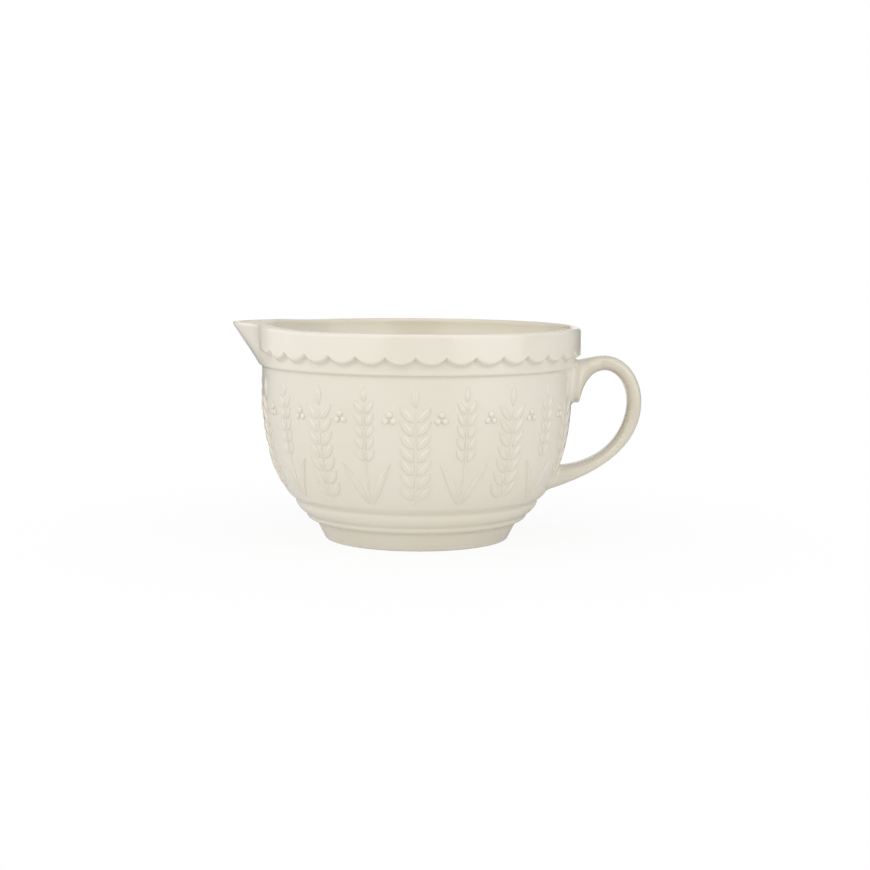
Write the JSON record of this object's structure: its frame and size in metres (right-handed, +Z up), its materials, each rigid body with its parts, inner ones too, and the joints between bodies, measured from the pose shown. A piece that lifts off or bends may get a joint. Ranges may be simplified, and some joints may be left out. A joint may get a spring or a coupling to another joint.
{
  "type": "batter bowl",
  "caption": "Deep round glazed ceramic mixing bowl with a pinched pouring spout, a loop handle opposite it, a scalloped rim band, a belt of raised sprigs and a ring foot.",
  "frame": {"origin": "middle of the foot's resting face, on the bowl's axis, at the level of the table", "axes": "+Z up along the bowl's axis, +X towards the handle, -X towards the pouring spout, -Y towards the viewer"},
  "size_m": [0.2561, 0.203, 0.1346],
  "materials": {
    "cream_glaze": "semi-gloss cream glaze over a fired clay body",
    "relief_glaze": "semi-gloss cream glaze, thinner on the raised edges",
    "foot_glaze": "semi-gloss cream glaze, wiped bare on the resting face"
  },
  "bodies": {
    "root": {"bowl_body": "cream_glaze", "foot_ring": "foot_glaze", "rim_band": "cream_glaze", "pouring_spout": "cream_glaze", "handle": "cream_glaze", "leaf_branches": "relief_glaze", "wheat_ears": "relief_glaze", "berry_beads": "relief_glaze"}
  },
  "joints": []
}
